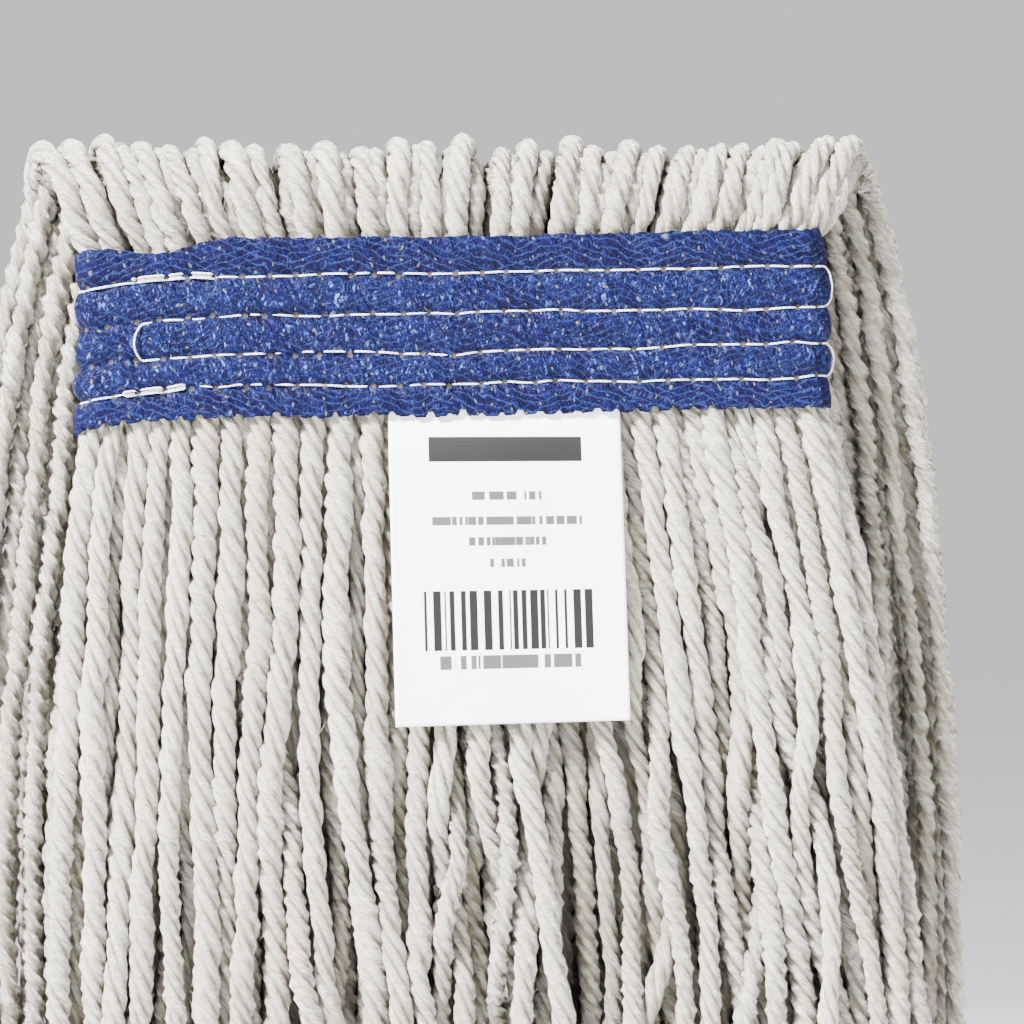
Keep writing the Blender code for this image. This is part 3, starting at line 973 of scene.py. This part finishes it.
def tapeFinish():
    # dark knitted blue, with crumpled facets painted lighter where they catch the light, painted glints and
    # highlights, painted shade in the hollows, along the facet edges and in the creases, a net of fine
    # threads, and openings that show the yarn
    finish = Finish("meshTape")
    finish.shader.inputs["Specular IOR Level"].default_value = 0.06
    around, up = finish.surface()
    flat = finish.join(around, up)
    hole, relief = finish.attribute("hole"), finish.attribute("relief")
    a = around + (finish.noise(flat, 0.22, 3.0) - 0.5) * 3.4
    b = up + (finish.noise(finish.join(up + 40.0, around), 0.30, 3.0) - 0.5) * 2.6
    # wales of the knitting, a little aslant, with the openings between them
    wale = (a + b * 0.16) * (1 / tape["waleWide"])
    number = wale.floor()
    step = b * (1 / tape["waleStep"]) + number * 0.37
    across = (wale - number - 0.5) * (tape["waleWide"] / 0.21)
    upward = ((step % 1.0) - 0.5) * (tape["waleStep"] / 0.30)
    place = finish.join(number, step.floor())
    chance = finish.node("TexWhiteNoise", {"noise_dimensions": "2D"}, {0: place})
    opening = (1 - (across * across + upward * upward).ramp(0.5, 1.3)) * (chance > 0.42)
    # the net of fine threads, in two directions
    rising = lineMask((b - a * 0.30) * (1 / 1.3), 0.10)
    falling = lineMask((b + a * 0.42) * (1 / 1.5), 0.10)
    patch = finish.noise(flat, 0.085, 2.0)
    net = rising * patch.ramp(0.40, 0.55) + falling * (1 - patch.ramp(0.47, 0.62))
    # crumpled facets of the flat tapes that the mesh is knitted from, large and small: their tone differs
    # by facet as painted light, with pale painted highlights on flecks and painted glints
    large, fine = finish.join(a * 1.0, b * 0.6), finish.join(a * 1.0, b * 0.55)
    facet = finish.split(finish.cells(large, 1.5, "F1", "Color"))[0]
    small = finish.split(finish.cells(fine, 3.2, "F1", "Color"))[1]
    # dark lines along the facet edges: painted shade in the folds
    rim = finish.cells(large, 1.5, "DISTANCE_TO_EDGE").ramp(0.02, 0.16)
    rimSmall = finish.cells(fine, 3.2, "DISTANCE_TO_EDGE").ramp(0.0, 0.14)
    proud = relief.ramp(-0.5, 0.65)
    # diagonal creases, darkened as painted shade
    crease = finish.noise(finish.join((around + up * 0.45) * 0.30, up * 0.07), 1.0, 2.0) - 0.5
    crease = 1 - crease.apart().ramp(0.0, 0.045)
    # the margins outside the stitching lie flatter, and show the net more
    margin = up.ramp(25.4, 26.8) + 1 - up.ramp(3.2, 5.0)
    # how much painted highlight the flecks and glints get: more on the puffs, less in the margins
    highlightShare = (0.35 + proud * 0.65) * (0.5 + patch * 0.8) * (1 - margin * 0.75)
    tone = finish.paint(
        # darker in the hollows along the stitch rows: painted shade
        finish.blend(proud, tape["shadedHollowBlue"], tape["proudBlue"]),
        # facets lighter at random: painted light
        (facet * 0.75 * (1 - margin * 0.6), tape["litFacetBlue"]),
        # painted shade along the facet edges
        ((1 - rim) * 0.55, (0.025, 0.015, 0.085)),
        ((1 - rimSmall) * 0.35, (0.03, 0.02, 0.10)),
        # pale flecks and glints: painted highlights
        (small.ramp(0.66, 0.96) * highlightShare * 0.85, tape["fleckHighlightBlue"]),
        ((small * facet).ramp(0.62, 0.88) * highlightShare, tape["glint"]),
        # painted shade along the creases
        (crease * 0.7, (0.03, 0.018, 0.10)),
        (net * ((1 - proud * 0.6) * 0.5 + margin * 0.25), (0.115, 0.18, 0.385)),
        (opening * 0.7, (0.37, 0.38, 0.35)),
        (hole.ramp(0.5, 0.9) * 0.85, (0.33, 0.30, 0.26)),
    )
    height = facet * 0.5 + small * 0.3 + net * 0.35 + rim * 0.3 - opening * 0.4 - crease * 0.5
    finish.shade(Base_Color=tone, Normal=finish.bump(height, 0.30 * mm, 0.9),
                 Roughness=0.38 + hole.ramp(0.2, 0.6) * 0.4 + opening * 0.3)
    return finish


makeTape()
print("headband made")

thread = {
    "thickness": 0.35 * mm,
    "lift": 0.29 * mm,  # of a stitch's middle over the tape
    "dive": 0.75 * mm,  # of the thread into a needle hole
    "open": 3.1 * mm,  # of a stitch that lies on top
    "turnAt": 57 / 67,  # of the half width: where the left turn and the back tacks lie
    "backTack": 14 * mm,
    "passes": (-0.35 * mm, 0.45 * mm, 0.05 * mm),  # how far each pass of a back tack strays
    "sides": 8,
    "white": (0.95, 0.95, 0.96),
    "worn": (0.62, 0.62, 0.62),
}


def threadFinish():
    # aslant lines along the thread for its twist, darkened as painted shade in its grooves, and dull
    # patches of noise
    finish = Finish("sewingThread", Roughness=0.45)
    around, along = finish.surface()
    twist = lineMask((along * 1.15 + around) * 1.0, 0.18)
    dusty = finish.noise(finish.join(along, around), 0.5, 3.0).ramp(0.42, 0.65)
    # painted shade in the twist's grooves, over the dull patches
    tone = finish.paint(thread["white"], (dusty * 0.6, thread["worn"]), (twist * 0.45, (0.58, 0.60, 0.66)))
    finish.shade(Base_Color=tone, Normal=finish.bump(1 - twist, 0.08 * mm, 0.8))
    return finish


def threadLift(u, row):
    # over the tape between two needle holes, and down into it at each
    over = eased(np.clip(fromHole(u, row) / (0.5 * (tape["stitch"] - thread["open"])), 0, 1))
    return thread["lift"] * over - thread["dive"] * (1 - over)


def rowRun(row, start, end, offset=0.0):
    # (u, h, lift) along a row, from one distance round the loop to another
    count = max(int(abs(end - start) / (0.42 * mm)), 2)
    u = np.linspace(start, end, count)
    return np.stack([u, rowHeight(row, u) + offset, threadLift(u, row)], axis=1)


def turnRun(rowA, rowB, u, bow):
    # from one row to the next in a bowed line that lies on top of the tape
    t = np.linspace(0, 1, 24)[1:-1]
    a = float(rowHeight(rowA, np.array([u]))[0])
    b = float(rowHeight(rowB, np.array([u]))[0])
    h = a + (b - a) * t
    return np.stack([u + bow * np.sin(math.pi * t) ** 0.8, h, np.full(len(t), thread["lift"])], axis=1)


def tubeAlong(name, route, finish, width):
    # rings about the route, once it has been smoothed; the radius wanders by a tenth
    line = tapePoint(route[:, 0], route[:, 1], route[:, 2] + 0.35 * width)
    line[1:-1] = 0.25 * line[:-2] + 0.5 * line[1:-1] + 0.25 * line[2:]
    middle = np.array([0.0, 0.5 * (tapeLow.y + tapeHigh.y), 0.0])
    facing = (line - middle) * np.array([0.02, 1.0, 0.0])
    _, first, second = lineFrames(line, facing / np.linalg.norm(facing, axis=1, keepdims=True))
    columns = thread["sides"]
    angle = np.arange(columns) * 2 * math.pi / columns
    run = distanceAlong(line)
    radius = 0.5 * width * (1 + 0.10 * latticeNoise(run / (1.3 * mm), 0.5, 61))
    spoke = spokes(angle[None, :], first, second)
    rings = (line[:, None] + radius[:, None, None] * spoke).reshape(-1, 3)
    quads, steps = ringFaces(len(line), columns)
    caps = capFaces(len(line), columns)
    uv = np.stack([steps[..., 1] / columns, run[steps[..., 0]] / mm], axis=-1)
    corners = [uv, np.zeros((len(caps), 3, 2))]
    piece = meshPiece(name, np.vstack([rings, line[[0, -1]]]), [quads, caps], finish, corners)
    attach(piece, "band")
    return piece


def makeThreads():
    # the needle thread runs on from row to row of the front, with back tacks at its left turns,
    # and the bobbin thread does the same on the back
    finish = threadFinish()
    left, right = -flatHalf - 0.7 * quarter, flatHalf + 0.75 * quarter
    inset = -thread["turnAt"] * halfWide
    tack = thread["backTack"]
    outer, inner, last = thread["passes"]
    front = np.vstack([
        rowRun(0, left, inset + 1.1 * tack, outer), rowRun(0, inset + 1.1 * tack, inset, inner)[1:],
        rowRun(0, inset, inset + 0.9 * tack, last)[1:], rowRun(0, inset + 0.9 * tack, right)[1:],
        turnRun(0, 1, right, 0.6 * mm), rowRun(1, right, inset + 2 * mm),
        turnRun(1, 2, inset + 2 * mm, -1.3 * mm), rowRun(2, inset + 2 * mm, right),
        turnRun(2, 3, right, 0.7 * mm), rowRun(3, right, inset + 0.7 * tack),
        rowRun(3, inset + 0.7 * tack, inset - 1.5 * mm, inner)[1:],
        rowRun(3, inset - 1.5 * mm, inset + 0.7 * tack, outer)[1:],
        rowRun(3, inset + 0.7 * tack, left, last)[1:],
    ])
    needle = tubeAlong("needleThread", front, finish, thread["thickness"])
    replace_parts(needle, *(f"front_stitch_row_{row + 1}" for row in range(4)))
    centre = 0.5 * tapeRound
    near, far = centre - flatHalf - 0.6 * quarter, centre + flatHalf + 0.6 * quarter
    back = np.vstack([
        rowRun(0, far, near), turnRun(0, 1, near, -0.6 * mm), rowRun(1, near, far - 11 * mm),
        turnRun(1, 2, far - 11 * mm, 1.2 * mm), rowRun(2, far - 11 * mm, near),
        turnRun(2, 3, near, -0.6 * mm), rowRun(3, near, far),
    ])
    bobbin = tubeAlong("bobbinThread", back, finish, 0.9 * thread["thickness"])
    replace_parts(bobbin, *(f"back_stitch_row_{row + 1}" for row in range(4)))


makeThreads()
print("threads sewn")

label = {
    "tuck": 3.2 * mm,  # of the label's top behind the tape
    "stand": 1.0 * mm,  # off the yarn
    "turned": math.radians(1.7),
    "step": 0.6 * mm,
    "thickness": 0.22 * mm,
    "paper": (0.985, 0.985, 0.985),
    "ink": (0.06, 0.05, 0.05),
    # what is printed on it, in millimetres: a dark block (half width, top and foot below the tape),
    # rows of grey bars (half width, middle, half height) and upright bars of made-up widths
    "block": (13.5, 3.2, 7.6),
    "rows": ((6.2, 13.6, 0.75), (13.2, 18.0, 0.75), (6.8, 21.6, 0.75), (3.2, 25.4, 0.75),
             (12.6, 42.7, 1.2)),
    "bars": (15.0, 30.2, 40.6),
    "barWidths": (0.28, 0.5, 0.5, 0.9, 1.4),
    "barGaps": (0.35, 0.6, 0.6, 1.1),
}
labelWide = labelHigh.x - labelLow.x
labelTall = labelHigh.z - labelLow.z


def labelFinish():
    # white satin with fine ribs, and ink wherever one of the boxes or bars lies
    finish = Finish("satinLabel", Roughness=0.38)
    across, down = finish.surface()

    def box(left, right, top, foot):
        # 1 inside, by two ramps across times two ramps down
        inX = across.ramp(left - 0.06, left + 0.06) * (1 - across.ramp(right - 0.06, right + 0.06))
        return inX * down.ramp(top - 0.06, top + 0.06) * (1 - down.ramp(foot - 0.06, foot + 0.06))

    middle = 0.5 * labelWide / mm
    wide, top, foot = label["block"]
    dark = box(middle - wide, middle + wide, top, foot)
    for wide, at, tall in label["rows"]:
        gaps = finish.noise(finish.join(across * 1.0, at), 1.35, 0.0).ramp(0.36, 0.42)
        dark = dark + box(middle - wide, middle + wide, at - tall, at + tall) * gaps * 0.93
    dark = dark + barRow(box, middle)
    weave = finish.noise(finish.join(across * 0.5, down * 12.0), 1.0, 2.0)
    ribs = lineMask(down * 3.3, 0.2)
    shade = finish.noise(finish.join(across, down), 0.09, 2.0)
    tone = finish.paint(label["paper"], (shade.ramp(0.3, 0.7) * 0.4, (0.955, 0.955, 0.96)),
                        (dark, label["ink"]))
    finish.shade(Base_Color=tone, Normal=finish.bump(weave * 0.6 + ribs * 0.4, 0.03 * mm, 0.5))
    return finish


def barRow(box, middle):
    # upright bars, which stand for nothing: each width and each gap is drawn from a short list
    rng = np.random.default_rng(9)
    reach, top, foot = label["bars"]
    at, bars = -reach, None
    while at < reach:
        wide = rng.choice(label["barWidths"])
        bar = box(middle + at, middle + at + wide, top, foot)
        bars = bar if bars is None else bars + bar
        at += wide + rng.choice(label["barGaps"])
    return bars


def makeLabel():
    # a grid across and down: y follows the front face, with a slow wave and its corners curled
    # outwards; the back is the same grid a thickness further in
    wide = int(labelWide / label["step"]) + 1
    tall = int((labelTall + label["tuck"]) / label["step"]) + 1
    a = np.linspace(0, labelWide, wide)[None, :]
    d = np.linspace(-label["tuck"], labelTall, tall)[:, None]
    a, d = np.broadcast_arrays(a, d)
    free = np.clip(d, 0, None)
    tucked = coreFront - 0.1 * mm
    hung = frontFace(free) - label["stand"] * (1 - np.exp(-free / (4 * mm)))
    wave = 0.5 * mm * latticeNoise(a / (17 * mm), d / (26 * mm) + 0.5, 71) * np.clip(free / (20 * mm), 0, 1)
    curl = 0.9 * mm * np.clip(free / labelTall, 0, 1) ** 2 * ((a / labelWide - 0.5) * 2) ** 2
    y = np.where(d < 0, tucked, hung - wave - curl)
    x = labelLow.x + a + math.tan(label["turned"]) * d
    z = labelHigh.z - d + math.tan(label["turned"]) * (a - 0.5 * labelWide) * np.clip(d / labelTall, 0, 1)
    front = np.stack([x, y, z], axis=-1)
    behind = front + np.array([0, label["thickness"], 0])
    i, j = np.meshgrid(np.arange(tall - 1), np.arange(wide - 1), indexing="ij")
    corner = i * wide + j
    quads = np.stack([corner, corner + wide, corner + wide + 1, corner + 1], axis=-1)
    faces = bothSides(quads.reshape(-1, 4), tall * wide)
    flat = np.stack([a, d], axis=-1).reshape(-1, 2) / mm
    corners = np.vstack([flat, flat])[faces]
    points = np.vstack([front.reshape(-1, 3), behind.reshape(-1, 3)])
    piece = meshPiece("sewnLabel", points, [faces], labelFinish(), [corners])
    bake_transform(piece)
    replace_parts(piece, "label")


makeLabel()
print("label sewn in")

room = {
    "floorTone": (0.985, 0.985, 0.985),
    "floorBelow": 12 * mm,  # under the part
    "floorHalf": 40,
    "daylight": 0.8,
    # place, size and power of each lamp
    "lamps": {
        "keyLight": ((-0.8, -0.65, 0.85), 0.30, 180),
        "fillLight": ((0.85, -0.9, 0.35), 0.9, 17),
        "backLight": ((0.5, 1.1, 0.8), 0.5, 70),
    },
}


def makeStage():
    # one flat square under the part
    floorFinish = Finish("paleFloor", Roughness=0.9)
    floorFinish.shade(Base_Color=colour(room["floorTone"]))
    z = cadLow.z - room["floorBelow"]
    wide = room["floorHalf"]
    corners = np.array([(-wide, -wide, z), (wide, -wide, z), (wide, wide, z), (-wide, wide, z)], float)
    floor = meshPiece("floor", corners, [np.array([[0, 1, 2, 3]])], floorFinish)


def makeLight(name, place, size, power):
    # a square lamp turned towards the yarn below the tape
    light = bpy.data.lights.new(name, "AREA")
    light.size = size
    light.energy = power
    made = bpy.data.objects.new(name, light)
    made.location = place
    aim = Vector((0, 0, tapeLow.z - 60 * mm)) - made.location
    made.rotation_euler = aim.to_track_quat("-Z", "Y").to_euler()
    bpy.context.scene.collection.objects.link(made)


def makeWorld():
    # even white light from all round
    world = bpy.data.worlds.new("studio")
    world.use_nodes = True
    background = world.node_tree.nodes["Background"]
    background.inputs["Color"].default_value = (1, 1, 1, 1)
    background.inputs["Strength"].default_value = room["daylight"]
    bpy.context.scene.world = world


makeStage()
makeWorld()
for name, lamp in room["lamps"].items():
    makeLight(name, *lamp)
shown = [o.data for o in bpy.data.objects if o.type == "MESH" and not o.hide_render]
print("studio made, triangles:", sum(len(mesh.loops) - 2 * len(mesh.polygons) for mesh in shown))
